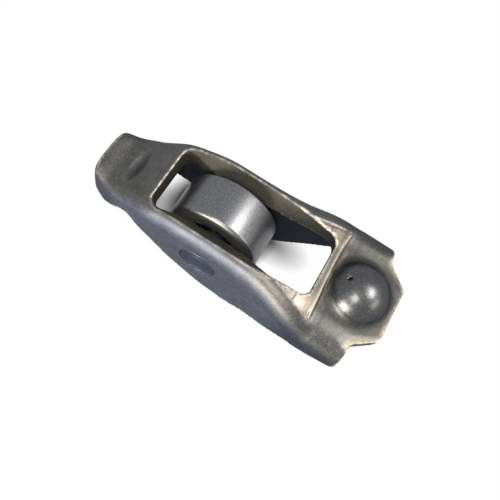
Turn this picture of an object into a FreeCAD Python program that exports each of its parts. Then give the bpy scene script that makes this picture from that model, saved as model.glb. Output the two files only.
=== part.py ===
import FreeCAD, Part
import math
import os

# Roller finger follower: a rocker arm pressed from one sheet, with a needle-bearing roller.
# Units are millimetres. +X runs from the valve end to the pivot end, +Z is the cam side.
# Everything is drawn from the roller's axis, then moved so that the pivot ball's centre is the origin.

# Lever
roller_to_pivot = 25.0
roller_to_valve = 17.0
pivot_above_axle = 4.3

# Roller, axle and needles
roller_diameter = 17.0
roller_width = 7.8
roller_edge_bevel = 0.45
roller_bore_chamfer = 0.5
axle_diameter = 6.4
axle_press = 0.01
axle_recess = 0.1
axle_edge_chamfer = 0.3
axle_ring_radius = 2.1
axle_ring_half_width = 0.3
axle_ring_depth = 0.25
axle_hole_countersink = 0.15
needle_diameter = 1.4
needle_count = 17
needle_length = 7.4
needle_clearance = 0.03

# Sheet
sheet_thickness = 3.2
flange_thickness = 2.5
inner_bevel = 0.6
outer_bend_radius = 3.7
nose_bend_radius = 2.6

# Arch of the web: place along the arm, height of the upper face and half width of the channel there.
# Places and heights are measured from the roller's axis.
nose_run_out = 1.0
nose_tip_height = -0.1
nose_tip_half_width = 4.8
nose_height = 0.4
nose_half_width = 5.1
pad_height = 1.5
pad_half_width = 5.8
throat_past_valve = 2.6
throat_height = 3.5
throat_half_width = 6.75
neck_x = -11.6
neck_height = 5.5
neck_half_width = 7.7
shoulder_x = -8.4
shoulder_height = 7.1
shoulder_half_width = 8.2
rise_x = -4.5
rise_height = 8.1
rise_half_width = 8.5
roller_half_width = 8.55
roller_crest_height = 8.5
crest_x = 5.5
crest_height = 8.6
crest_half_width = 8.75
haunch_x = 11.0
haunch_height = 8.5
haunch_half_width = 9.45
knee_before_pivot = 10.5
knee_height = 8.2
knee_half_width = 10.4
step_before_pivot = 7.4
step_height = 7.7
step_half_width = 11.1
dip_before_pivot = 5.4
dip_height = 7.1
dip_half_width = 11.5
plate_start_before_pivot = 3.4
plate_height = 6.8
plate_half_width = 11.8
tail_half_width = 12.2

# Ends seen from above
nose_overhang = 6.8
nose_flat_half_width = 3.1
nose_bow = 0.5
nose_corner_half_width = 5.4
nose_corner_step = 0.9
nose_corner_round = 1.6
nose_front_round = 4.0
wall_end_past_pivot = 2.6
plate_end_past_pivot = 6.75
plate_end_half_width = 5.05
plate_root_half_width = 8.2
plate_corner_round = 0.7
plate_root_round = 1.8

# Lower edge of the side walls, as depths below the roller's axis
foot_depth = 8.7
foot_start = 1.4
foot_end = 7.8
foot_round = 6.0
flange_depth = 7.4
flange_end_past_valve = -1.6
flange_round = 3.0
flange_tip_round = 2.6
nose_edge_depth = 1.3
nose_edge_round = 1.5
nose_face_lean = 3.0
throat_depth = 3.7
throat_end = -10.0
throat_round = 4.0
dip_edge_height = 0.0
knee_round = 6.0
wall_end_height = 2.5
wall_tip_round = 1.2

# Window: half widths at the sheet's upper face, and how far its sides lean outwards there
window_nose_edge = -11.8
window_nose_half_width = 6.4
window_nose_side_lean = 35.0
window_nose_lean = 16.0
window_side_lean = 40.0
window_half_width = 7.3
window_widest_start = -4.5
window_widest_end = 5.5
window_tail_before_pivot = 7.35
window_end_half_width = 6.0
window_end_straight = 2.4
window_tail_lean = 9.0
window_corner_round = 1.9

# Valve pad under the nose, and the trough that its press leaves on top
pad_crown_radius = 12.0
pad_proud = 0.35
pad_trough_before_pad = 0.5
pad_trough_depth = 0.25
pad_trough_half_length = 2.8
pad_trough_half_width = 1.1

# Plate flattened by coining, up to a curved edge
coin_edge_before_pivot = 5.9
coin_edge_bow = 0.9

# Pivot socket and its dome
ball_radius = 4.0
socket_mouth_chamfer = 0.5
dome_radius = 5.55
dome_rise = 4.2
dome_root_round = 0.6
oil_hole_diameter = 0.9
oil_hole_tilt = 30.0

# Worked out from the sizes above
roller_radius = roller_diameter / 2
axle_radius = axle_diameter / 2
needle_radius = needle_diameter / 2
needle_pitch_radius = axle_radius + needle_clearance + needle_radius
race_radius = needle_pitch_radius + needle_radius + needle_clearance
pad_x = -roller_to_valve
throat_x = pad_x + throat_past_valve
flange_end = pad_x + flange_end_past_valve
knee_x = roller_to_pivot - knee_before_pivot
step_x = roller_to_pivot - step_before_pivot
dip_x = roller_to_pivot - dip_before_pivot
plate_start = roller_to_pivot - plate_start_before_pivot
nose_end = pad_x - nose_overhang
wall_end = roller_to_pivot + wall_end_past_pivot
plate_end = roller_to_pivot + plate_end_past_pivot
margin = 0.6
beyond = 8.0
floor = -foot_depth - beyond
Y_AXIS = FreeCAD.Vector(0, 1, 0)
Z_AXIS = FreeCAD.Vector(0, 0, 1)
AXLE = FreeCAD.Vector(0, 0, 0)


def arch_stations():
    """Sections of the channel from nose to plate: x, top, half width, outer bend radius, wall."""
    bend = outer_bend_radius
    neck_bend = (nose_bend_radius + outer_bend_radius) / 2
    sheet = sheet_thickness
    flange = flange_thickness
    return (
        (nose_end - nose_run_out, nose_tip_height, nose_tip_half_width, nose_bend_radius, flange),
        (pad_x - nose_overhang / 2, nose_height, nose_half_width, nose_bend_radius, flange),
        (pad_x, pad_height, pad_half_width, nose_bend_radius, flange),
        (throat_x, throat_height, throat_half_width, nose_bend_radius, flange),
        (neck_x, neck_height, neck_half_width, neck_bend, (sheet + flange) / 2),
        (shoulder_x, shoulder_height, shoulder_half_width, bend, sheet),
        (rise_x, rise_height, rise_half_width, bend, sheet),
        (0.0, roller_crest_height, roller_half_width, bend, sheet),
        (crest_x, crest_height, crest_half_width, bend, sheet),
        (haunch_x, haunch_height, haunch_half_width, bend, sheet),
        (knee_x, knee_height, knee_half_width, bend, sheet),
        (step_x, step_height, step_half_width, bend, sheet),
        (dip_x, dip_height, dip_half_width, bend, sheet),
        (plate_start, plate_height, plate_half_width, bend, sheet),
    )


def section_corners(x, top, half_width, bend, bottom):
    """Corners of a section across the arm, from the near wall's foot to the far one's."""
    return [
        FreeCAD.Vector(x, -half_width, bottom),
        FreeCAD.Vector(x, -half_width, top - bend),
        FreeCAD.Vector(x, -half_width + bend, top),
        FreeCAD.Vector(x, half_width - bend, top),
        FreeCAD.Vector(x, half_width, top - bend),
        FreeCAD.Vector(x, half_width, bottom),
    ]


def inner_section(x, top, half_width, bevel, bottom):
    """Closed section of the hollow, with a small bevel in each corner."""
    corners = section_corners(x, top, half_width, bevel, bottom)
    return Part.makePolygon(corners + corners[:1])


def outer_section(x, top, half_width, bend, bottom):
    """Closed section of the outside, with round bends."""
    foot_near, wall_near, web_near, web_far, wall_far, foot_far = section_corners(
        x, top, half_width, bend, bottom)
    bow = bend * (1 - math.sqrt(0.5))
    bend_near = FreeCAD.Vector(x, -half_width + bow, top - bow)
    bend_far = FreeCAD.Vector(x, half_width - bow, top - bow)
    return Part.Wire([
        Part.LineSegment(foot_near, wall_near).toShape(),
        Part.Arc(wall_near, bend_near, web_near).toShape(),
        Part.LineSegment(web_near, web_far).toShape(),
        Part.Arc(web_far, bend_far, wall_far).toShape(),
        Part.LineSegment(wall_far, foot_far).toShape(),
        Part.LineSegment(foot_far, foot_near).toShape(),
    ])


def slope_at(stations, index):
    """Slope of the web between the stations on each side."""
    before = stations[max(index - 1, 0)]
    after = stations[min(index + 1, len(stations) - 1)]
    return (after[1] - before[1]) / (after[0] - before[0])


def rounded_outline(corners, place):
    """Closed wire through (u, v, radius) corners, with an arc at each corner that has a radius."""
    count = len(corners)
    starts = []
    arcs = []
    for index in range(count):
        u, v, radius = corners[index]
        here = FreeCAD.Vector(u, v, 0)
        before = FreeCAD.Vector(corners[index - 1][0], corners[index - 1][1], 0)
        after = FreeCAD.Vector(corners[(index + 1) % count][0], corners[(index + 1) % count][1], 0)
        to_before = (before - here).normalize()
        to_after = (after - here).normalize()
        if radius == 0:
            starts.append((here, here))
            arcs.append(None)
            continue
        half_angle = to_before.getAngle(to_after) / 2
        reach = radius / math.tan(half_angle)
        centre = here + (to_before + to_after).normalize() * (radius / math.sin(half_angle))
        middle = centre + (here - centre).normalize() * radius
        starts.append((here + to_before * reach, here + to_after * reach))
        arcs.append(middle)
    edges = []
    for index in range(count):
        entry, leave = starts[index]
        if arcs[index]:
            edges.append(Part.Arc(place(entry), place(arcs[index]), place(leave)).toShape())
        following = starts[(index + 1) % count][0]
        edges.append(Part.LineSegment(place(leave), place(following)).toShape())
    return Part.Wire(edges)


def side_view(point):
    return FreeCAD.Vector(point.x, -tail_half_width - beyond, point.y)


def plan_view(point):
    return FreeCAD.Vector(point.x, point.y, floor - beyond)


def channel():
    """The bent sheet, before it is trimmed and pierced."""
    stations = arch_stations()
    outer_wires = []
    inner_wires = []
    for index, (x, top, half_width, bend, wall) in enumerate(stations):
        depth = sheet_thickness * math.hypot(1, slope_at(stations, index))
        outer_wires.append(outer_section(x, top, half_width, bend, floor))
        inner_wires.append(inner_section(x, top - depth, half_width - wall, inner_bevel, floor - beyond))
    outer = Part.makeLoft(outer_wires, True, False)
    inner = Part.makeLoft(inner_wires, True, False)
    x, top, half_width, bend, wall = stations[-1]
    outer_ends = []
    inner_ends = []
    for at, half in ((x, half_width), (plate_end + beyond, tail_half_width)):
        outer_ends.append(outer_section(at, top, half, bend, floor))
        inner_ends.append(inner_section(at, top - sheet_thickness, half - wall, inner_bevel, floor - beyond))
    outer_tail = Part.makeLoft(outer_ends, True, True)
    inner_tail = Part.makeLoft(inner_ends, True, True)
    return outer.fuse(outer_tail), inner.fuse(inner_tail)


def side_blank():
    """Everything above the lower edge of the walls, seen from the side."""
    high = crest_height + beyond
    under_plate = plate_height - sheet_thickness - margin
    tip = nose_end + nose_bow
    face_lean = (high + nose_edge_depth) * math.tan(math.radians(nose_face_lean))
    corners = (
        (tip - face_lean, high, 0),
        (tip, -nose_edge_depth, nose_edge_round),
        (tip + nose_bow, -flange_depth, flange_tip_round),
        (flange_end, -flange_depth, flange_round),
        (throat_x, -throat_depth, throat_round),
        (throat_end, -throat_depth, throat_round),
        (foot_start, -foot_depth, foot_round),
        (foot_end, -foot_depth, foot_round),
        (dip_x, dip_edge_height, knee_round),
        (wall_end, wall_end_height, wall_tip_round),
        (wall_end, under_plate, 0),
        (plate_end + beyond, under_plate, 0),
        (plate_end + beyond, high, 0),
    )
    across = FreeCAD.Vector(0, 2 * (tail_half_width + beyond), 0)
    return Part.Face(rounded_outline(corners, side_view)).extrude(across)


def plan_blank():
    """The ends of the sheet seen from above: the bowed nose, the wall ends and the tapered plate."""
    wide = tail_half_width + beyond
    nose_edge = nose_half_width + beyond
    front = nose_end + nose_bow
    corner = front + nose_corner_step
    side = corner + nose_corner_step
    corners = (
        (front, -nose_flat_half_width, nose_front_round),
        (corner, -nose_corner_half_width, nose_corner_round),
        (side, -nose_edge, 0),
        (wall_end, -wide, 0),
        (wall_end, -plate_root_half_width, plate_root_round),
        (plate_end, -plate_end_half_width, plate_corner_round),
        (plate_end, plate_end_half_width, plate_corner_round),
        (wall_end, plate_root_half_width, plate_root_round),
        (wall_end, wide, 0),
        (side, nose_edge, 0),
        (corner, nose_corner_half_width, nose_corner_round),
        (front, nose_flat_half_width, nose_front_round),
    )
    upwards = FreeCAD.Vector(0, 0, crest_height + beyond - floor + beyond)
    return Part.Face(rounded_outline(corners, plan_view)).extrude(upwards)


def window_tool():
    """The window's punch: it leans out where it cuts the bends, and its two ends lean to the tail."""
    arch = arch_stations()
    tail_edge = roller_to_pivot - window_tail_before_pivot
    straight_start = tail_edge - window_end_straight
    corners = (
        (window_nose_edge, window_nose_half_width, window_nose_side_lean, window_nose_lean,
         window_corner_round),
        (window_widest_start, window_half_width, window_side_lean, 0, 0),
        (window_widest_end, window_half_width, window_side_lean, 0, 0),
        (straight_start, window_end_half_width, 0, 0, 0),
        (tail_edge, window_end_half_width, 0, window_tail_lean, window_corner_round),
    )
    under_neck = neck_height - 2 * sheet_thickness
    lean_start = crest_height - outer_bend_radius
    outlines = []
    for level in (under_neck, lean_start, crest_height + beyond):
        side = []
        for x, edge, side_lean, end_lean, corner_round in corners:
            top = arch_at(arch, x)
            side_rise = max(level, lean_start) - top
            side.append((x - (level - top) * math.tan(math.radians(end_lean)),
                         edge + side_rise * math.tan(math.radians(side_lean)), corner_round))
        near = [(x, -edge, corner_round) for x, edge, corner_round in side]
        outlines.append(rounded_outline(near + side[::-1], lambda point, z=level: FreeCAD.Vector(
            point.x, point.y, z)))
    return Part.makeLoft(outlines, True, True)


def arch_at(stations, x):
    """Height of the web's upper face between two stations."""
    for left, right in zip(stations, stations[1:]):
        if left[0] <= x <= right[0]:
            share = (x - left[0]) / (right[0] - left[0])
            return left[1] + share * (right[1] - left[1])
    return stations[-1][1]


def plate_coining():
    """Material over the plate that coining flattens, back to a bowed edge."""
    wide = tail_half_width + beyond
    middle_x = roller_to_pivot - coin_edge_before_pivot
    side_x = middle_x + coin_edge_bow
    far_x = plate_end + beyond
    near_corner = FreeCAD.Vector(side_x, -plate_half_width, plate_height)
    far_corner = FreeCAD.Vector(side_x, plate_half_width, plate_height)
    outline = [near_corner, FreeCAD.Vector(side_x, -wide, plate_height),
               FreeCAD.Vector(far_x, -wide, plate_height), FreeCAD.Vector(far_x, wide, plate_height),
               FreeCAD.Vector(side_x, wide, plate_height), far_corner]
    edges = [Part.LineSegment(a, b).toShape() for a, b in zip(outline, outline[1:])]
    bow = FreeCAD.Vector(middle_x, 0, plate_height)
    edges.append(Part.Arc(far_corner, bow, near_corner).toShape())
    return Part.Face(Part.Wire(edges)).extrude(FreeCAD.Vector(0, 0, crest_height + beyond))


def valve_pad():
    """Crowned pad under the nose's web, between the flanges."""
    web_underside = pad_height - sheet_thickness
    inner_half_width = pad_half_width - flange_thickness + inner_bevel
    centre = FreeCAD.Vector(pad_x, -inner_half_width, web_underside - pad_proud + pad_crown_radius)
    drum = Part.makeCylinder(pad_crown_radius, 2 * inner_half_width, centre, Y_AXIS)
    reach = math.sqrt(2 * pad_crown_radius * pad_proud)
    block = Part.makeBox(2 * reach, 2 * inner_half_width, sheet_thickness / 2 + pad_proud,
                         FreeCAD.Vector(pad_x - reach, -inner_half_width, web_underside - pad_proud))
    return drum.common(block)


def pad_trough():
    """Oval trough in the sloping face over the pad: the mark of a ring pressed in on its edge."""
    stations = arch_stations()
    slope = math.atan(slope_at(stations, [station[0] for station in stations].index(pad_x)))
    along = FreeCAD.Vector(math.cos(slope), 0, math.sin(slope))
    outwards = FreeCAD.Vector(-math.sin(slope), 0, math.cos(slope))
    tube_radius = pad_trough_half_width ** 2 / (2 * pad_trough_depth)
    edge_radius = pad_trough_half_length ** 2 / (2 * pad_trough_depth)
    middle = FreeCAD.Vector(pad_x, 0, pad_height) - along * pad_trough_before_pad
    centre = middle + outwards * (edge_radius - pad_trough_depth)
    return Part.makeTorus(edge_radius - tube_radius, tube_radius, centre, along)


def dome():
    """Dome pushed up out of the plate; two cones round its root."""
    centre_z = plate_height + dome_rise - dome_radius
    root_centre_z = plate_height + dome_root_round
    reach = dome_radius + dome_root_round
    root_x = math.sqrt(reach ** 2 - (root_centre_z - centre_z) ** 2)
    share = dome_radius / reach
    meet = FreeCAD.Vector(root_x * share, 0, centre_z + (root_centre_z - centre_z) * share)
    crown = FreeCAD.Vector(0, 0, centre_z + dome_radius)
    half = math.atan2(meet.x, meet.z - centre_z) / 2
    shoulder = FreeCAD.Vector(dome_radius * math.sin(half), 0, centre_z + dome_radius * math.cos(half))
    foot = FreeCAD.Vector(root_x, 0, plate_height)
    inward = (meet + foot) * 0.5 - FreeCAD.Vector(root_x, 0, root_centre_z)
    hollow = FreeCAD.Vector(root_x, 0, root_centre_z) + inward.normalize() * dome_root_round
    low = plate_height - sheet_thickness / 2
    profile = [
        Part.Arc(crown, shoulder, meet).toShape(),
        Part.LineSegment(meet, hollow).toShape(),
        Part.LineSegment(hollow, foot).toShape(),
        Part.LineSegment(foot, FreeCAD.Vector(root_x, 0, low)).toShape(),
        Part.LineSegment(FreeCAD.Vector(root_x, 0, low), FreeCAD.Vector(0, 0, low)).toShape(),
        Part.LineSegment(FreeCAD.Vector(0, 0, low), crown).toShape(),
    ]
    solid = Part.Face(Part.Wire(profile)).revolve(AXLE, Z_AXIS, 360)
    solid.translate(FreeCAD.Vector(roller_to_pivot, 0, 0))
    return solid


def socket_tool():
    """Ball seat, its mouth and the oil hole that points at the roller."""
    ball = FreeCAD.Vector(roller_to_pivot, 0, pivot_above_axle)
    underside = plate_height - sheet_thickness
    seat = Part.makeSphere(ball_radius, ball)
    mouth = Part.makeCylinder(ball_radius, ball.z - underside + margin, ball, Z_AXIS * -1)
    rim = Part.makeCone(ball_radius + socket_mouth_chamfer, ball_radius, socket_mouth_chamfer,
                        FreeCAD.Vector(ball.x, 0, underside), Z_AXIS)
    tilt = math.radians(oil_hole_tilt)
    aim = FreeCAD.Vector(-math.sin(tilt), 0, math.cos(tilt))
    oil_hole = Part.makeCylinder(oil_hole_diameter / 2, dome_radius + dome_rise, ball, aim)
    return seat.fuse([mouth, rim, oil_hole])


def axle_hole_tool():
    """Hole through both walls, with a small countersink that the axle's ends are spread into."""
    length = 2 * (roller_half_width + margin)
    start = FreeCAD.Vector(0, -length / 2, 0)
    hole_radius = axle_radius - axle_press
    hole = Part.makeCylinder(hole_radius, length, start, Y_AXIS)
    flare = axle_hole_countersink + margin
    near = Part.makeCone(hole_radius + flare, hole_radius, flare,
                         FreeCAD.Vector(0, -roller_half_width - margin, 0), Y_AXIS)
    far = near.mirror(AXLE, Y_AXIS)
    return hole.fuse([near, far])


def rocker_body():
    outer, inner = channel()
    body = outer.common(side_blank()).common(plan_blank()).cut(inner)
    body = body.cut(window_tool()).cut(plate_coining()).cut(pad_trough())
    body = body.fuse([valve_pad(), dome()]).cut(socket_tool())
    body = body.cut(axle_hole_tool())
    return body.removeSplitter()


def turned(profile):
    """Solid turned about the roller's axis from (radius, place along the axis) points."""
    points = [FreeCAD.Vector(radius, along, 0) for radius, along in profile]
    return Part.Face(Part.makePolygon(points + points[:1])).revolve(AXLE, Y_AXIS, 360)


def mirrored(half_profile):
    """Profile whose second half mirrors the first, given from the near end to the middle."""
    return half_profile + [(radius, -along) for radius, along in reversed(half_profile)]


def roller():
    """Outer ring, ground all over, with bevelled edges."""
    half = roller_width / 2
    return turned(mirrored([
        (race_radius, -half + roller_bore_chamfer),
        (race_radius + roller_bore_chamfer, -half),
        (roller_radius - roller_edge_bevel, -half),
        (roller_radius, -half + roller_edge_bevel),
    ]))


def roller_pin():
    """Hardened axle, bevelled, with the ring that the staking punch leaves in each end."""
    half = roller_half_width - axle_recess
    return turned(mirrored([
        (0, -half),
        (axle_ring_radius - axle_ring_half_width, -half),
        (axle_ring_radius, -half + axle_ring_depth),
        (axle_ring_radius + axle_ring_half_width, -half),
        (axle_radius - axle_edge_chamfer, -half),
        (axle_radius, -half + axle_edge_chamfer),
    ]))


def needle(angle):
    """One needle, lying along the axle at its place in the ring of needles."""
    start = FreeCAD.Vector(needle_pitch_radius * math.cos(angle), -needle_length / 2,
                           needle_pitch_radius * math.sin(angle))
    return Part.makeCylinder(needle_radius, needle_length, start, Y_AXIS)


pieces = {"rocker_body": rocker_body(), "roller": roller(), "roller_pin": roller_pin()}
for number in range(needle_count):
    pieces["needle_%02d" % (number + 1)] = needle(2 * math.pi * number / needle_count)

os.makedirs("parts", exist_ok=True)
for name, shape in pieces.items():
    shape.translate(FreeCAD.Vector(-roller_to_pivot, 0, -pivot_above_axle))
    shape.exportStep("parts/" + name + ".step")
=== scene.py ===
import math

import bmesh
import bpy
import numpy as np
from mathutils import Matrix, Vector


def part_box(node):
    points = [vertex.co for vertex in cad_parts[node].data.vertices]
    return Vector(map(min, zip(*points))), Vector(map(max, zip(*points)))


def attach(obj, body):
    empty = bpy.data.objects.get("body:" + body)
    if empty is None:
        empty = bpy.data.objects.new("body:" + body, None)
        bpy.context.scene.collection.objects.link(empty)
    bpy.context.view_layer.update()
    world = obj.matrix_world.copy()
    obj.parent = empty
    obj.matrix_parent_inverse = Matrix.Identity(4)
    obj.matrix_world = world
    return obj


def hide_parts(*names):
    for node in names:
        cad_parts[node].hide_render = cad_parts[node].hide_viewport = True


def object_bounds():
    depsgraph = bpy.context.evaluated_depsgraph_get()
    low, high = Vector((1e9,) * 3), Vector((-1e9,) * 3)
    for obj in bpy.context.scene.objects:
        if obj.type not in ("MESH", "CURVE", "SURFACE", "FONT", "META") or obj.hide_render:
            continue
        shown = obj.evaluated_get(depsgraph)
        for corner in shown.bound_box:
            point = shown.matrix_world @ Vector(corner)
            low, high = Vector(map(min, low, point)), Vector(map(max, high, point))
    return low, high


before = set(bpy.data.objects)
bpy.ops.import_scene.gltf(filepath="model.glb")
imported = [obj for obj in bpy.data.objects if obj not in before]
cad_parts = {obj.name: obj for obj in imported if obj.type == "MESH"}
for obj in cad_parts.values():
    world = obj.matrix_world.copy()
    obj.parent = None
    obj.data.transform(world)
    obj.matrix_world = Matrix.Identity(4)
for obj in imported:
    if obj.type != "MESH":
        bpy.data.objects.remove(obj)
cad_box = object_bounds()


# The studio: a white paper sweep that the arm lies on, a pale sky round it,
# and soft lamps at the places that the dome's highlights give away.
scene = bpy.context.scene
MM = 0.001
white = (1, 1, 1, 1)


def linear(code):
    """sRGB hex colour to the linear values that shaders take."""
    parts = [int(code[i:i + 2], 16) / 255 for i in (1, 3, 5)]
    parts = [c / 12.92 if c <= 0.04045 else ((c + 0.055) / 1.055) ** 2.4 for c in parts]
    return (*parts, 1.0)


def node(tree, kind, inputs=(), **settings):
    """Adds one node. Its inputs go by name or in order; a node given for one is linked
    by the first output that it has in use."""
    made = tree.nodes.new(kind)
    for name, value in settings.items():
        setattr(made, name, value)
    for socket, value in inputs.items() if isinstance(inputs, dict) else enumerate(inputs):
        if isinstance(value, bpy.types.Node):
            value = next(output for output in value.outputs if output.enabled)
        if isinstance(value, bpy.types.NodeSocket):
            tree.links.new(value, made.inputs[socket])
        else:
            made.inputs[socket].default_value = value
    return made


def new_material(name):
    """An empty material, and its tree."""
    material = bpy.data.materials.new(name)
    material.use_nodes = True
    material.node_tree.nodes.clear()
    return material, material.node_tree


def background_rays(tree):
    """1 for rays that show the background: from the camera, in a gloss, or through glass."""
    ray = node(tree, "ShaderNodeLightPath").outputs
    seen = node(tree, "ShaderNodeMath", (ray["Is Camera Ray"], ray["Is Glossy Ray"]),
                operation="MAXIMUM")
    return node(tree, "ShaderNodeMath", (seen, ray["Is Transmission Ray"]), operation="MAXIMUM")


sky_light = 0.6
world = bpy.data.worlds.new("studio")
world.use_nodes = True
tree = world.node_tree
tree.nodes.clear()
strength = node(tree, "ShaderNodeMapRange",
                {"Value": background_rays(tree), "To Min": sky_light, "To Max": 1.0})
sky = node(tree, "ShaderNodeBackground", {"Color": white, "Strength": strength})
node(tree, "ShaderNodeOutputWorld", {"Surface": sky})
scene.world = world

# Paper: matt white stock, an even white with no grain at this distance. Its glow stands in for
# the bright room, and its own shade is kept dark, because the lamps would add to the glow. The
# glow fades where the arm closes over the sheet, and in two soft patches: round the roller's
# foot, and behind it along the far wall, as in the photo.
paper_glow = 0.97
paper_own = (0.08, 0.08, 0.08, 1)
contact_reach = 12.0 * MM
covered, open_sky = 0.08, 0.42
# Two painted shadows on the sheet: one round the roller's foot, one behind it along the far
# wall.
roller_foot_painted_shadow = ((-26.0, 4.5, 0), (8.0, 6.5, 1), 1.1, 1.48, 0.05)
far_wall_painted_shadow = ((-15.5, 6.0, 0), (5.0, 2.6, 1), -0.2, 1.75, 0.0)

paper, tree = new_material("white_paper_sweep")
# Painted shade on the sheet: the glow is dimmed where the arm closes over it.
openness = node(tree, "ShaderNodeAmbientOcclusion", {"Distance": contact_reach}, samples=16)
glow = node(tree, "ShaderNodeMapRange",
            {"Value": openness.outputs["AO"], "From Min": covered, "From Max": open_sky,
             "To Max": paper_glow})
glow = node(tree, "ShaderNodeMath", (background_rays(tree), glow), operation="MULTIPLY")
on_sheet = node(tree, "ShaderNodeTexCoord").outputs["Object"]
# The glow is faded inside each painted shadow.
for centre, half_size, dark_to, clear_from, darkest in (roller_foot_painted_shadow, far_wall_painted_shadow):
    away = node(tree, "ShaderNodeVectorMath", (on_sheet, Vector(centre) * MM),
                operation="SUBTRACT")
    away = node(tree, "ShaderNodeVectorMath", (away, Vector(half_size) * MM), operation="DIVIDE")
    away = node(tree, "ShaderNodeVectorMath", (away,), operation="LENGTH")
    clear = node(tree, "ShaderNodeMapRange",
                 {"Value": away, "From Min": dark_to, "From Max": clear_from, "To Min": darkest})
    glow = node(tree, "ShaderNodeMath", (glow, clear), operation="MULTIPLY")
matt = node(tree, "ShaderNodeBsdfDiffuse", {"Color": paper_own})
lift = node(tree, "ShaderNodeEmission", {"Color": white, "Strength": glow})
node(tree, "ShaderNodeOutputMaterial",
     {"Surface": node(tree, "ShaderNodeAddShader", (matt, lift))})

floor_size = 1.2
floor_z = cad_box[0][2] - 0.02 * MM
bpy.ops.mesh.primitive_plane_add(size=floor_size, location=(0, 0, floor_z))
floor = bpy.context.object
floor.name = "floor"
floor.data.materials.append(paper)

lamp_distance = 0.30


def softbox(name, direction, width, height, radiance, colour):
    """Lamp facing the arm's middle, its height upright; radiance is how bright its face
    looks in a mirror."""
    lamp = bpy.data.lights.new(name, "AREA")
    lamp.shape = "RECTANGLE"
    lamp.size = width
    lamp.size_y = height
    lamp.energy = radiance * math.pi * width * height
    lamp.color = linear(colour)[:3]
    holder = bpy.data.objects.new(name, lamp)
    scene.collection.objects.link(holder)
    way = Vector(direction).normalized()
    holder.location = way * lamp_distance
    holder.rotation_euler = way.to_track_quat("Z", "Y").to_euler()
    holder.visible_diffuse = False


softbox("near_softbox", (-0.18, -0.53, 0.83), 0.08, 0.08, 29.0, "#fff8ee")
softbox("tail_softbox", (0.44, 0.24, 0.86), 0.13, 0.09, 26.0, "#fffaf2")
softbox("low_near_softbox", (-0.30, -0.94, 0.14), 0.135, 0.12, 31.0, "#fff6ea")
softbox("low_tail_softbox", (0.86, -0.05, 0.5), 0.16, 0.08, 6.0, "#fff6e8")

# The camera stands where the photograph was taken from, found by matching points of the part.
focal_pixels, frame_pixels = 560.9, 500
camera_place = Vector((-22.655, -37.706, 85.099)) * MM
camera_right = Vector((0.835853, 0.493942, 0.239522))
camera_back = Vector((-0.042287, -0.377093, 0.925209))
camera_up = camera_back.cross(camera_right)
lens = bpy.data.cameras.new("camera")
lens.sensor_width = 36.0
lens.lens = focal_pixels / frame_pixels * lens.sensor_width
lens.clip_start = MM
camera = bpy.data.objects.new("camera", lens)
scene.collection.objects.link(camera)
camera.matrix_world = Matrix((
    (camera_right.x, camera_up.x, camera_back.x, camera_place.x),
    (camera_right.y, camera_up.y, camera_back.y, camera_place.y),
    (camera_right.z, camera_up.z, camera_back.z, camera_place.z),
    (0, 0, 0, 1)))
scene.camera = camera
scene.view_settings.view_transform = "Standard"

# Arm: one blank of case-hardening steel, drawn into a channel, pierced and coined,
# then hardened and tumbled, so every edge is worn soft and bright. The solid's triangles are
# merged and turned into an even skin, which is then worked point by point.
grid = 0.215 * MM
weld = 0.0005 * MM
cad_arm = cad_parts["rocker_body"]
work = cad_arm.data.copy()
bm = bmesh.new()
bm.from_mesh(work)
bmesh.ops.remove_doubles(bm, verts=bm.verts, dist=weld)
bm.to_mesh(work)
bm.free()
blank = bpy.data.objects.new("blank", work)
scene.collection.objects.link(blank)
remesh = blank.modifiers.new("even_skin", "REMESH")
remesh.mode = "VOXEL"
remesh.voxel_size = grid
tumble = blank.modifiers.new("tumbled_edges", "SMOOTH")
tumble.factor = 0.5
tumble.iterations = 3
skin = bpy.data.meshes.new_from_object(
    blank.evaluated_get(bpy.context.evaluated_depsgraph_get()))
bpy.data.objects.remove(blank)

# From here on lengths on the arm are in millimetres.
count = len(skin.vertices)
ends = np.zeros(len(skin.edges) * 2, int)
skin.edges.foreach_get("vertices", ends)
ends = ends.reshape(-1, 2)
degree = np.bincount(ends.ravel(), minlength=count).clip(1)


def read_skin():
    """Points and normals of the arm's skin."""
    points, normals = np.zeros(count * 3), np.zeros(count * 3)
    skin.vertices.foreach_get("co", points)
    skin.vertex_normals.foreach_get("vector", normals)
    return points.reshape(-1, 3) / MM, normals.reshape(-1, 3)


def worked_skin(points):
    """Puts the moved points on the skin and reads them back with their new normals."""
    skin.vertices.foreach_set("co", (points * MM).ravel())
    skin.update()
    return read_skin()


def spread(values, rounds):
    """Averages a value over each point's neighbours, several times."""
    for _ in range(rounds):
        total = values.copy()
        np.add.at(total, ends[:, 0], values[ends[:, 1]])
        np.add.at(total, ends[:, 1], values[ends[:, 0]])
        values = total / (degree + 1)
    return values


def softened(points, rounds):
    """The points, each moved to the middle of its neighbours, several times."""
    return np.stack([spread(points[:, k], rounds) for k in range(3)], axis=1)


def smoothstep(low_edge, high_edge, value):
    """0 below the low edge, 1 above the high one, with a soft rise between them."""
    share = np.clip((value - low_edge) / (high_edge - low_edge), 0, 1)
    return share * share * (3 - 2 * share)


def bell(away, width):
    """1 in the middle, fading to nothing at about twice the width."""
    return np.exp(-(away / width) ** 2)


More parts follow.
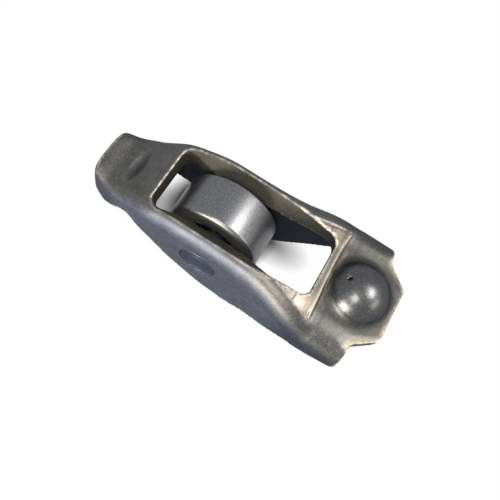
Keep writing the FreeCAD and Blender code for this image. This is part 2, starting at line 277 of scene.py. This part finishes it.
# Nicks from tumbling: small round dents, thickest where edges knock against each other.
sharp = 0.01
nicks_on_edges, nicks_anywhere = 150, 130
place, normal = read_skin()
middle = np.zeros((count, 3))
np.add.at(middle, ends[:, 0], place[ends[:, 1]])
np.add.at(middle, ends[:, 1], place[ends[:, 0]])
middle /= degree[:, None]
bulge = spread(((place - middle) * normal).sum(1), 2)
chance = np.random.default_rng(7)
on_edge = np.flatnonzero(bulge > sharp)
nicks = np.concatenate([chance.choice(on_edge, nicks_on_edges),
                        chance.choice(count, nicks_anywhere)])
dent = np.zeros(count)
for point in nicks:
    size = chance.uniform(0.25, 0.65)
    depth = chance.uniform(0.02, 0.05)
    away = np.linalg.norm(place - place[point], axis=1)
    dent = np.maximum(dent, depth * (1 - smoothstep(0.2 * size, size, away)))
place, normal = worked_skin(place - normal * dent[:, None])

# x, y and z are views of the points, so they follow each change that is made to them.
x, y, z = place.T
reach = np.abs(y)
plate_heart = 1.2
faces_up = smoothstep(0.45, 0.7, normal[:, 2])
on_top = faces_up * (z > plate_heart)

# The coining die's ridge: the solid's bowed step is drawn to the photo's uneven line and its
# root softened. A rolled bead runs along it, with a finer line behind the bead's middle.
ridge_x, ridge_bow, plate_half = -6.0, 0.9, 8.6
bead_height, bead_width = 0.2, 0.26
second_height, second_width, second_behind = 0.07, 0.2, 0.85
cad_ridge = ridge_x + ridge_bow * (y / plate_half) ** 2
ridge = cad_ridge + 0.12 - 0.05 * y - 0.007 * y ** 2 + 0.0005 * y ** 3
from_ridge = x - cad_ridge
near_ridge = bell(from_ridge, 1.3) * (1 - smoothstep(plate_half, 9.6, reach)) * on_top
place[:, 0] += (ridge - cad_ridge) * near_ridge
step_root = bell(from_ridge - 0.3, 0.8) * near_ridge
place += (softened(place, 9) - place) * np.clip(1.5 * step_root, 0, 1)[:, None]
from_ridge = x - ridge
line_end = (1 - smoothstep(8.0, 9.2, reach)) * on_top
bead = bead_height * bell(from_ridge + 0.1, bead_width)
second = (second_height * bell(from_ridge - second_behind, second_width)
          * smoothstep(-4.5, -1.0, y) * (1 - smoothstep(4.5, 6.5, y)))

# Two facets pressed beside the window, deepest along the crease, each crossed by a witness line.
facet_width, facet_depth = 2.6, 0.11
witness_x, witness_width, witness_depth = -9.4, 0.14, 0.07
crease_from, crease_half, crease_slope = -5.2, 8.76, 0.283
crease = crease_half - crease_slope * (crease_from - x)
facet = (smoothstep(-17.0, -12.0, x) * (1 - smoothstep(-0.5, -0.1, from_ridge))
         * (1 - smoothstep(-0.1, 0.15, reach - crease)))
pressed = facet_depth * np.clip((reach - crease + facet_width) / facet_width, 0, 1) * facet
witness = witness_depth * bell(x - witness_x, witness_width) * facet
place[:, 2] += (bead + second) * line_end - (pressed + witness) * on_top

# A border pressed down round the plate's end, deeper on the near side.
end_x, end_half, taper = 6.75, 5.05, math.atan2(3.15, 6.0)
border_width, border_depth = 1.25, 0.34
to_end = end_x - x
to_side = (end_half - reach) * math.cos(taper) + (end_x - x) * math.sin(taper)
to_border = np.minimum(to_end, to_side)
border = (np.clip((border_width - to_border) / border_width, 0, 1.2)
          * (0.4 + 0.6 * smoothstep(3.5, -2.5, y)) * on_top
          * smoothstep(0.4, 3.0, x) * smoothstep(-2.2, -0.8, to_side))
place[:, 2] -= border_depth * border

# The dome's foot: a small fillet between the drawn ball and the plate's flat top.
plate_top, ball_radius, ball_centre, root_round = 2.5, 5.55, 1.15, 1.5
from_dome = np.hypot(x, y)
root_span = ball_radius + root_round
root_centre = math.sqrt(root_span ** 2 - (plate_top + root_round - ball_centre) ** 2)
root = bell(from_dome - 5.6, 0.9) * (z > plate_heart) * (normal[:, 2] > 0.05)
across = np.clip(root_centre - from_dome, 0, root_centre * root_round / root_span)
fillet = plate_top + root_round - np.sqrt(root_round ** 2 - across ** 2)
ball_meets = root_centre * ball_radius / root_span - 0.15
in_root = (from_dome > ball_meets) & (from_dome < root_centre) & (root > 0)
place[:, 2] = np.where(in_root, np.maximum(place[:, 2], fillet), place[:, 2])
place += (softened(place, 5) - place) * np.clip(1.3 * root, 0, 1)[:, None]

# Valve end: the neck's shoulders are full, the front corner bulges, and the pad's bend
# leaves a trough. Nothing goes past the nose of the solid.
neck_stations = (-47.0, -44.9, -43.4, -42.2, -40.6, -39.0, -36.0, -33.5)
neck_fulness = (0.3, 1.2, 1.4, 1.15, 0.7, 0.4, 0.18, 0.0)
corner_x, corner_length, corner_fulness, front_push = -45.0, 2.4, 0.5, 0.12
nose_limit = -48.28
trough_x, trough_half, trough_wide, trough_depth = -42.3, 3.3, 1.3, 0.42
off_middle = smoothstep(1.5, 4.0, np.abs(y))
full_neck = (spread(np.interp(x, neck_stations, neck_fulness), 12)
             * smoothstep(-8.0, -4.0, z) * off_middle)
full_corner = (corner_fulness * bell(x - corner_x, corner_length)
               * smoothstep(-4.5, -7.5, z) * off_middle)
place[:, 1] += (full_neck + full_corner) * np.sign(y)
front_corner = smoothstep(-45.4, -46.6, x) * smoothstep(1.5, 3.5, np.abs(y))
place += (softened(place, 24) - place + front_push * normal) * front_corner[:, None]
place[:, 0] = np.maximum(place[:, 0], nose_limit)
in_trough = (np.clip(1 - ((x - trough_x) / trough_wide) ** 2 - (y / trough_half) ** 2, 0, 1)
             * faces_up * (z > -6.0))
place[:, 2] -= trough_depth * in_trough

# The remesh rounds the oil hole's mouth away; this draws it back to the drill's size.
hole_x, hole_y = -2.97, -0.2
hole_draw, hole_above = 0.16, 2.0
hole_away = np.hypot(x - hole_x, y - hole_y)
draw_in = (hole_draw * (1 - smoothstep(0.5, 1.2, hole_away)) * (z > hole_above)
           / np.maximum(hole_away, 0.3))
place[:, 0] -= (x - hole_x) * draw_in
place[:, 1] -= (y - hole_y) * draw_in

# Round the axle's ends the wall stands in a fine countersunk groove, and beside the near end
# the staking tool has left two crescents.
axle_x, axle_z = -25.0, -4.3
groove_radius, groove_width, groove_depth = 3.35, 0.16, 0.12
crescents = ((-32.0, -2.6, 0.55), (-30.2, -3.1, 0.8))
crescent_width, crescent_depth = 0.13, 0.06
axle_away = np.hypot(x - axle_x, z - axle_z)
outer_wall = (np.abs(normal[:, 1]) > 0.75) & (reach > 8.0)
groove = bell(axle_away - groove_radius, groove_width) * outer_wall
place[:, 1] -= groove_depth * groove * np.sign(y)
for mark_x, mark_z, size in crescents:
    away = np.hypot(x - mark_x, z - mark_z)
    crescent = bell(away - size, crescent_width) * (z < mark_z) * outer_wall * (y < 0)
    place[:, 1] += crescent_depth * crescent
place, normal = worked_skin(place)

# Where a point lies on the pressing: how far below the web's top, how far in from the wall's
# face. The dome stands above the web and doesn't count for its top.
x, y, z = place.T
reach = np.abs(y)
from_dome = np.hypot(x, y)
off_dome = from_dome > 6.2
column_width = 0.5
column = np.round((x - x.min()) / column_width).astype(int)
crown = np.full(column.max() + 1, -99.0)
np.maximum.at(crown, column[off_dome], z[off_dome])
flank = np.zeros(column.max() + 1)
np.maximum.at(flank, column, reach)
below = crown[column] - z
inboard = flank[column] - reach

# What the skin is at each point, from 0 to 1: first which way it looks and where it lies. The
# web's slope decides from which angle a face counts as looking up.
window_start, window_end = -36.8, -7.35
sheet_thickness = 3.2
in_window = (smoothstep(window_start - 0.8, window_start - 0.2, x)
             * (1 - smoothstep(window_end + 0.2, window_end + 0.7, x)))
# The angle changes along the arm, so that the painted warm top tint reaches further down the
# bend at the nose and behind the roller.
flat_from = 0.5 + 0.22 * smoothstep(-39.0, -34.0, x) - 0.37 * smoothstep(-20.0, -13.0, x)
upward = smoothstep(flat_from, flat_from + 0.25, normal[:, 2])
# Painted shade: the channel's inside is darkened.
inside = (smoothstep(sheet_thickness - 0.4, sheet_thickness + 0.3, below)
          * smoothstep(0.8, 2.2, inboard))
cut = in_window * (1 - upward) * smoothstep(0.9, 1.5, inboard) * (1 - inside)
dome_share = (1 - smoothstep(4.8, 5.6, from_dome)) * (z > plate_heart)
# Painted highlight: a pale rim along the pressed border at the plate's end.
end_rim_highlight = smoothstep(0.15, 0.6, border)

# Then what the press and the wear have left: pale coined flats and rubbed edges. The wear stops
# at the axle's groove and at the clean drilled oil hole. Painted light comes with them: a
# painted highlight on the bead's crest, a painted sheen on the nose, and painted shade over the
# plate, the nose's end, the hollows and the axle's groove.
near_corner = 0.2 + 0.8 * smoothstep(3.0, 6.2, reach)
past_witness = 0.45 + 0.55 * smoothstep(witness_x - 0.2, witness_x + 0.2, x)
coined = facet * near_corner * past_witness * smoothstep(0.8, 0.92, normal[:, 2])
# Painted highlight: the bead's crest is painted pale.
crest_highlight = np.clip((bead + second) / bead_height, 0, 1) * line_end
# Painted sheen: a pale patch with glinting specks on the nose's top.
nose_painted_sheen = (1 - smoothstep(0.6, 3.0, np.hypot(x + 45.3, y - 0.6))) * upward
# Painted shade: the axle's groove is darkened.
groove_painted_shade = np.clip(1.3 * groove, 0, 1)
by_axle = smoothstep(3.9, 3.4, axle_away) * (reach > 8.0)
drilled = 1 - smoothstep(0.75, 1.1, np.hypot(x - hole_x, y - hole_y))
window_rim = in_window * smoothstep(2.2, 3.0, inboard) * (1 - smoothstep(1.0, 2.0, below))
edge_wear = spread(smoothstep(0.006, 0.028, bulge), 1) * (1 - by_axle)
edge_wear *= 1 - drilled * (z > hole_above)
edge_wear = np.clip(edge_wear * (1 + window_rim), 0, 1)
burnished = (smoothstep(-25.0, -16.0, x) * smoothstep(5.8, 7.2, reach)
             * smoothstep(0.45, 0.8, normal[:, 2]) * (1 - smoothstep(0.0, 3.0, x)))
near_bend = smoothstep(6.0, 7.5, reach) * smoothstep(0.4, 0.7, normal[:, 2])
# Painted shade: the plate, the walls beside it and the nose's end are darkened.
painted_plate_shade = (smoothstep(-12.0, -5.0, x) * (1 - coined) * (1 - end_rim_highlight) * (1 - dome_share)
              * (1 - 0.9 * crest_highlight) * (1 - 0.45 * near_bend))
painted_nose_shade = 0.6 * smoothstep(-42.5, -45.0, x)
# Painted shade: hollows, witness lines and the trough are darkened.
painted_hollow_shade = smoothstep(0.003, 0.016, -bulge) * (1 - near_ridge) * (1 - root)
painted_hollow_shade = np.maximum(painted_hollow_shade, np.clip(witness / witness_depth, 0, 1) * on_top)
painted_hollow_shade = np.maximum(painted_hollow_shade, 0.9 * np.sqrt(in_trough))

masks = {
    "edge_wear": edge_wear,
    "painted_hollow_shade": painted_hollow_shade,
    # Faces looking up and the dome's foot take the painted warm top tint.
    "upward": spread(np.maximum(upward, np.clip(1.5 * root, 0, 1)), 4),
    "painted_end_shade": spread(np.maximum(painted_plate_shade, painted_nose_shade), 3),
    "inside": spread(inside, 2),
    "cut_face": spread(cut, 1),
    "coined": spread(coined, 1),
    "nose_painted_sheen": spread(nose_painted_sheen, 3),
    "dome": dome_share,
    "end_rim_highlight": spread(end_rim_highlight, 2),
    "crest_highlight": crest_highlight,
    "groove_painted_shade": groove_painted_shade,
    "burnished": burnished}
for name, values in masks.items():
    layer = skin.attributes.new(name, "FLOAT", "POINT")
    layer.data.foreach_set("value", values.astype(np.float32))
skin.shade_smooth()
arm = bpy.data.objects.new("arm_pressing", skin)
scene.collection.objects.link(arm)

# Tumbled, case-hardened steel: a dull satin with a fine pepper of pits and cloudy patches, and
# rubbed pale where the press coined it. Its browner grey on top and blue-grey on the walls are
# painted light: a warm light from above and a bluish light from the sides. The real pits are a
# few hundredths of a millimetre across; they are drawn coarser, so that they show.
cloud_size, blotch_size, pepper_size = 3.0 * MM, 0.9 * MM, 0.28 * MM
steel_tint = linear("#b0b4c0")
steel, tree = new_material("tumbled_case_hardened_steel")
coords = node(tree, "ShaderNodeTexCoord").outputs["Object"]
mask = {name: node(tree, "ShaderNodeAttribute", attribute_name=name).outputs["Fac"]
        for name in masks}
cloud, blotch, pepper = (
    node(tree, "ShaderNodeTexNoise", {"Vector": coords, "Scale": 1 / size, "Detail": detail,
                                      "Roughness": grain}).outputs["Fac"]
    for size, detail, grain in ((cloud_size, 3.0, 0.55), (blotch_size, 4.0, 0.6),
                                (pepper_size, 3.0, 0.7)))

# Its colours, laid one over the other on the walls' blue-grey: the browner grey on faces looking
# up is painted warm top light, and the pale end rim and the pale crest of the bead are painted
# highlights.
tone = linear("#5a5e67")
for name, amount, colour in (("upward", 1.0, "#595958"),
                             ("end_rim_highlight", 0.65, "#868174"),
                             ("cut_face", 1.0, "#45443f"),
                             ("dome", 0.8, "#505153"),
                             ("coined", 0.9, "#6b645c"),
                             ("crest_highlight", 0.9, "#a39a8d")):
    cover = node(tree, "ShaderNodeMath", (mask[name], amount), operation="MULTIPLY")
    tone = node(tree, "ShaderNodeMix", {"Factor": cover, "A": tone, "B": linear(colour)},
                data_type="RGBA")

# Clouds, blotches and pits make it uneven; plate and nose are darkened by painted shade.
end_shade_factor = node(tree, "ShaderNodeMapRange", (mask["painted_end_shade"], 0, 1, 1, 0.5))
clouded = node(tree, "ShaderNodeMapRange", (cloud, 0.3, 0.7, 0.9, 1.08))
clouded = node(tree, "ShaderNodeMath", (clouded, end_shade_factor), operation="MULTIPLY")
blotched = node(tree, "ShaderNodeMapRange", (blotch, 0.35, 0.68, 0.93, 1.07))
pitted = node(tree, "ShaderNodeMapRange", (pepper, 0.36, 0.64, 0.74, 1.24))
for shade in (clouded, blotched, pitted):
    grey = node(tree, "ShaderNodeCombineColor", (shade, shade, shade))
    tone = node(tree, "ShaderNodeMix", {"Factor": 1.0, "A": tone, "B": grey},
                data_type="RGBA", blend_type="MULTIPLY")

# Wear shows pale in patches; a painted sheen with painted glints lies on the nose, and painted
# shade darkens the hollows, the axle's groove and the channel's inside.
rubbed = node(tree, "ShaderNodeMapRange", (blotch, 0.42, 0.58, 0.2125, 0.85))
painted_glints = node(tree, "ShaderNodeMapRange", (pepper, 0.6, 0.72, 0.0, 0.6))
for name, amount, colour in (("edge_wear", rubbed, "#cbc4b7"),
                             ("nose_painted_sheen", painted_glints, "#7f7c74"),
                             ("painted_hollow_shade", 0.45, "#2c2d30"),
                             ("inside", 0.92, "#32353c"),
                             ("groove_painted_shade", 0.75, "#1b1c20")):
    cover = node(tree, "ShaderNodeMath", (mask[name], amount), operation="MULTIPLY")
    tone = node(tree, "ShaderNodeMix", {"Factor": cover, "A": tone, "B": linear(colour)},
                data_type="RGBA")

# Burnished, drawn and coined faces are smoother; the inside and the sheared faces are rougher.
rough = node(tree, "ShaderNodeMapRange", (pepper, 0.25, 0.75, 0.46, 0.6))
for name, change in (("burnished", -0.11), ("dome", -0.2), ("coined", -0.06),
                     ("inside", 0.25), ("cut_face", 0.15)):
    rough = node(tree, "ShaderNodeMath", (mask[name], change, rough), operation="MULTIPLY_ADD")
pits = node(tree, "ShaderNodeBump",
            {"Height": pepper, "Strength": 0.3, "Distance": 0.02 * MM})
waves = node(tree, "ShaderNodeBump",
             {"Height": blotch, "Strength": 0.3, "Distance": 0.06 * MM, "Normal": pits})
surface = node(tree, "ShaderNodeBsdfPrincipled",
               {"Base Color": tone, "Metallic": 0.9, "Roughness": rough,
                "Specular Tint": steel_tint, "Normal": waves})
node(tree, "ShaderNodeOutputMaterial", {"Surface": surface})
skin.materials.clear()
skin.materials.append(steel)
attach(arm, "arm")
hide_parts("rocker_body")


# Axle: a hardened pin, ground to size, whose soft ends are staked with a ring punch
# so that they spread into the countersunk holes of the walls.
def lathe(name, profile, centre, turns):
    """Closed ring or bar about the roller's axis, from points (radius, along)."""
    centre_x, centre_z = centre
    on_axis = 1e-6
    bm = bmesh.new()
    rings = []
    for radius, along in profile:
        if radius < on_axis:
            rings.append([bm.verts.new((centre_x * MM, along * MM, centre_z * MM))])
            continue
        ring = []
        for k in range(turns):
            angle = 2 * math.pi * k / turns
            ring.append(bm.verts.new(((centre_x + radius * math.cos(angle)) * MM, along * MM,
                                      (centre_z + radius * math.sin(angle)) * MM)))
        rings.append(ring)
    pairs = list(zip(rings, rings[1:]))
    if profile[0][0] > on_axis:
        pairs.append((rings[-1], rings[0]))
    for one, other in pairs:
        for k in range(turns):
            after = (k + 1) % turns
            corners = [one[k % len(one)], one[after % len(one)],
                       other[after % len(other)], other[k % len(other)]]
            unique = list(dict.fromkeys(corners))
            if len(unique) > 2:
                bm.faces.new(unique)
    bmesh.ops.recalc_face_normals(bm, faces=bm.faces)
    mesh = bpy.data.meshes.new(name)
    bm.to_mesh(mesh)
    bm.free()
    mesh.shade_smooth()
    made = bpy.data.objects.new(name, mesh)
    scene.collection.objects.link(made)
    return made


def corner_arc(radius_centre, along_centre, round_by, start, end, steps):
    """Points of a rounded corner, by angle from the outward radial direction."""
    points = []
    for k in range(steps + 1):
        angle = math.radians(start + (end - start) * k / steps)
        points.append((radius_centre + round_by * math.cos(angle),
                       along_centre + round_by * math.sin(angle)))
    return points


low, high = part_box("roller_pin")
axle = ((low.x + high.x) / 2 / MM, (low.z + high.z) / 2 / MM)
pin_radius = (high.x - low.x) / 2 / MM
pin_end = low.y / MM
pin_round = 0.25
punch_radius, punch_width, punch_depth = 2.2, 0.34, 0.2
punch_from, punch_to = punch_radius - punch_width, punch_radius + punch_width
near_half = [
    (0, pin_end), (0.8, pin_end), (punch_from - 0.1, pin_end),
    (punch_from, pin_end + 0.03), (punch_radius - 0.1, pin_end + punch_depth),
    (punch_radius + 0.1, pin_end + punch_depth), (punch_to, pin_end + 0.03),
    (punch_to + 0.1, pin_end),
    *corner_arc(pin_radius - pin_round, pin_end + pin_round, pin_round, 270, 360, 6)]
far_half = [(radius, -along) for radius, along in near_half]
pin = lathe("staked_axle", far_half + near_half[::-1], axle, 96)

# Staked axle steel: a plain dull blue-grey, smoother than the arm, in small cloudy patches.
dull_size = 0.4 * MM
staked, tree = new_material("staked_axle_steel")
coords = node(tree, "ShaderNodeTexCoord").outputs["Object"]
dull = node(tree, "ShaderNodeTexNoise", {"Vector": coords, "Scale": 1 / dull_size, "Detail": 4.0,
                                         "Roughness": 0.6}).outputs["Fac"]
patch = node(tree, "ShaderNodeMapRange", (dull, 0.3, 0.7, 0, 1))
tone = node(tree, "ShaderNodeMix",
            {"Factor": patch, "A": linear("#474b55"), "B": linear("#51555f")}, data_type="RGBA")
rough = node(tree, "ShaderNodeMapRange", (dull, 0.3, 0.7, 0.34, 0.46))
surface = node(tree, "ShaderNodeBsdfPrincipled",
               {"Base Color": tone, "Metallic": 0.9, "Specular Tint": steel_tint,
                "Roughness": rough})
node(tree, "ShaderNodeOutputMaterial", {"Surface": surface})
pin.data.materials.append(staked)
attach(pin, "arm")
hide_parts("roller_pin")

# Roller: a ring of through-hardened bearing steel, turned, hardened and ground on the tread,
# the faces and the bore. Its rims are honed round, the far one to the smaller radius.
low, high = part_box("roller")
tread = (high.x - low.x) / 2 / MM
half_width = high.y / MM
far_rim, near_rim = 0.4, 0.7
bore, bore_mouth = 4.66, 0.45
land, land_slope, land_step = 6.55, 0.25, 0.08
halves = []
for rim in (far_rim, near_rim):
    face = half_width - land_step
    half = corner_arc(tread - rim, half_width - rim, rim, 0, 90, 8)
    half += [(land + land_slope, half_width), (land, face), (bore + bore_mouth + 0.3, face)]
    half += corner_arc(bore + bore_mouth, face - bore_mouth, bore_mouth, 90, 180, 6)
    halves.append(half)
profile = halves[0] + [(radius, -along) for radius, along in halves[1][::-1]]
roller = lathe("cam_roller", profile, axle, 192)

# Ground bearing steel: a soft even shine on the tread, hazed by fine grinding, and paler faces
# with dark turning lines round the axle. Real haze and lines are under a tenth of a millimetre
# wide; both are drawn coarser, so that they show.
haze_size = line_pitch = 0.32 * MM
ground, tree = new_material("ground_bearing_steel")
coords = node(tree, "ShaderNodeTexCoord").outputs["Object"]
centred = node(tree, "ShaderNodeMapping",
               {"Vector": coords, "Location": (-axle[0] * MM, 0, -axle[1] * MM)})
axes = node(tree, "ShaderNodeSeparateXYZ", (centred,)).outputs
spoke = node(tree, "ShaderNodeCombineXYZ", {"X": axes["X"], "Z": axes["Z"]})
radius = node(tree, "ShaderNodeVectorMath", (spoke,), operation="LENGTH")
lines = node(tree, "ShaderNodeCombineXYZ", {"X": radius, "Y": axes["Y"]})
turning = node(tree, "ShaderNodeTexNoise", {"Vector": lines, "Scale": 1 / line_pitch,
                                            "Detail": 3.0, "Roughness": 0.7}).outputs["Fac"]
haze = node(tree, "ShaderNodeTexNoise", {"Vector": coords, "Scale": 1 / haze_size,
                                         "Detail": 4.0, "Roughness": 0.6}).outputs["Fac"]
on_tread = node(tree, "ShaderNodeMapRange",
                (radius, (tread - near_rim) * MM, (tread - 0.1) * MM, 0, 1))
light_haze = node(tree, "ShaderNodeMapRange", (haze, 0.48, 0.66, 0.0, 0.35))
dark_haze = node(tree, "ShaderNodeMapRange", (haze, 0.52, 0.36, 0.0, 0.4))
dark_lines = node(tree, "ShaderNodeMapRange", (turning, 0.4, 0.7, 0.0, 0.7))
on_faces = node(tree, "ShaderNodeMapRange", (on_tread, 0, 1, 1.0, 0.12))
dark_lines = node(tree, "ShaderNodeMath", (dark_lines, on_faces), operation="MULTIPLY")
tone = linear("#a3a099")
for cover, colour in ((on_tread, "#67696d"), (light_haze, "#838486"),
                      (dark_haze, "#4a4c50"), (dark_lines, "#2f2e2b")):
    tone = node(tree, "ShaderNodeMix", {"Factor": cover, "A": tone, "B": linear(colour)},
                data_type="RGBA")
rough = node(tree, "ShaderNodeMapRange", (haze, 0.3, 0.7, 0.33, 0.39))
rougher_faces = node(tree, "ShaderNodeMapRange", (on_tread, 0, 1, 0.15, 0))
rough = node(tree, "ShaderNodeMath", (rough, rougher_faces), operation="ADD")
surface = node(tree, "ShaderNodeBsdfPrincipled",
               {"Base Color": tone, "Metallic": 0.85, "Roughness": rough})
node(tree, "ShaderNodeOutputMaterial", {"Surface": surface})
roller.data.materials.append(ground)
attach(roller, "roller_ring")
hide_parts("roller")

# Needles: a full complement of hard polished pins with rounded ends, loose between
# the axle and the roller's bore, oiled, so only their ends catch the light.
needle_names = sorted(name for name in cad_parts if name.startswith("needle_"))
low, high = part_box(needle_names[0])
needle_radius = (high.z - low.z) / 2
needle_length = high.y - low.y
pitch_radius = (low.x + high.x) / 2 - axle[0] * MM
tree = bpy.data.node_groups.new("ring_of_needles", "GeometryNodeTree")
tree.interface.new_socket("Geometry", in_out="OUTPUT", socket_type="NodeSocketGeometry")
sizes = []
for name, kind, value in (("Count", "NodeSocketInt", len(needle_names)),
                          ("Pitch radius", "NodeSocketFloat", pitch_radius),
                          ("Needle radius", "NodeSocketFloat", needle_radius),
                          ("Needle length", "NodeSocketFloat", needle_length)):
    sizes.append((tree.interface.new_socket(name, in_out="INPUT", socket_type=kind), value))
given = node(tree, "NodeGroupInput").outputs
circle = node(tree, "GeometryNodeMeshCircle",
              {"Vertices": given["Count"], "Radius": given["Pitch radius"]})
half_length = node(tree, "ShaderNodeMath", (given["Needle length"], 0.5), operation="MULTIPLY")
to_end = node(tree, "ShaderNodeMath", (half_length, given["Needle radius"]),
              operation="SUBTRACT")
to_start = node(tree, "ShaderNodeMath", (to_end, -1.0), operation="MULTIPLY")
ball = node(tree, "GeometryNodeMeshUVSphere",
            {"Segments": 24, "Rings": 12, "Radius": given["Needle radius"]})
balls = node(tree, "GeometryNodeJoinGeometry")
for along in (to_end, to_start):
    offset = node(tree, "ShaderNodeCombineXYZ", {"Z": along})
    end_ball = node(tree, "GeometryNodeTransform", {"Geometry": ball, "Translation": offset})
    tree.links.new(end_ball.outputs[0], balls.inputs[0])
needle = node(tree, "GeometryNodeConvexHull", (balls,))
needle = node(tree, "GeometryNodeSetShadeSmooth", {"Geometry": needle})
ring = node(tree, "GeometryNodeInstanceOnPoints", {"Points": circle, "Instance": needle})
real = node(tree, "GeometryNodeRealizeInstances", {"Geometry": ring})
laid = node(tree, "GeometryNodeTransform",
            {"Geometry": real, "Translation": (axle[0] * MM, 0, axle[1] * MM),
             "Rotation": (math.radians(90), 0, 0)})

# Polished needle steel: bright and nearly white, with a thin film of oil that dims it unevenly.
oil_size = 0.3 * MM
polished, shading = new_material("polished_needle_steel")
coords = node(shading, "ShaderNodeTexCoord").outputs["Object"]
oil = node(shading, "ShaderNodeTexNoise", {"Vector": coords, "Scale": 1 / oil_size,
                                           "Detail": 2.0, "Roughness": 0.55}).outputs["Fac"]
tone = node(shading, "ShaderNodeMix",
            {"Factor": oil, "A": linear("#8d8d8b"), "B": linear("#b2b1ad")}, data_type="RGBA")
rough = node(shading, "ShaderNodeMapRange", (oil, 0.3, 0.7, 0.12, 0.24))
surface = node(shading, "ShaderNodeBsdfPrincipled",
               {"Base Color": tone, "Metallic": 1.0, "Roughness": rough})
node(shading, "ShaderNodeOutputMaterial", {"Surface": surface})
finish = node(tree, "GeometryNodeSetMaterial", {"Geometry": laid, "Material": polished})
node(tree, "NodeGroupOutput", {"Geometry": finish})

needles = bpy.data.objects.new("needle_ring", bpy.data.meshes.new("needle_ring"))
scene.collection.objects.link(needles)
modifier = needles.modifiers.new("needles", "NODES")
modifier.node_group = tree
for socket, value in sizes:
    modifier[socket.identifier] = value
plain = bpy.data.meshes.new_from_object(
    needles.evaluated_get(bpy.context.evaluated_depsgraph_get()))
needles.modifiers.remove(modifier)
needles.data = plain
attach(needles, "needle_set")
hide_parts(*needle_names)
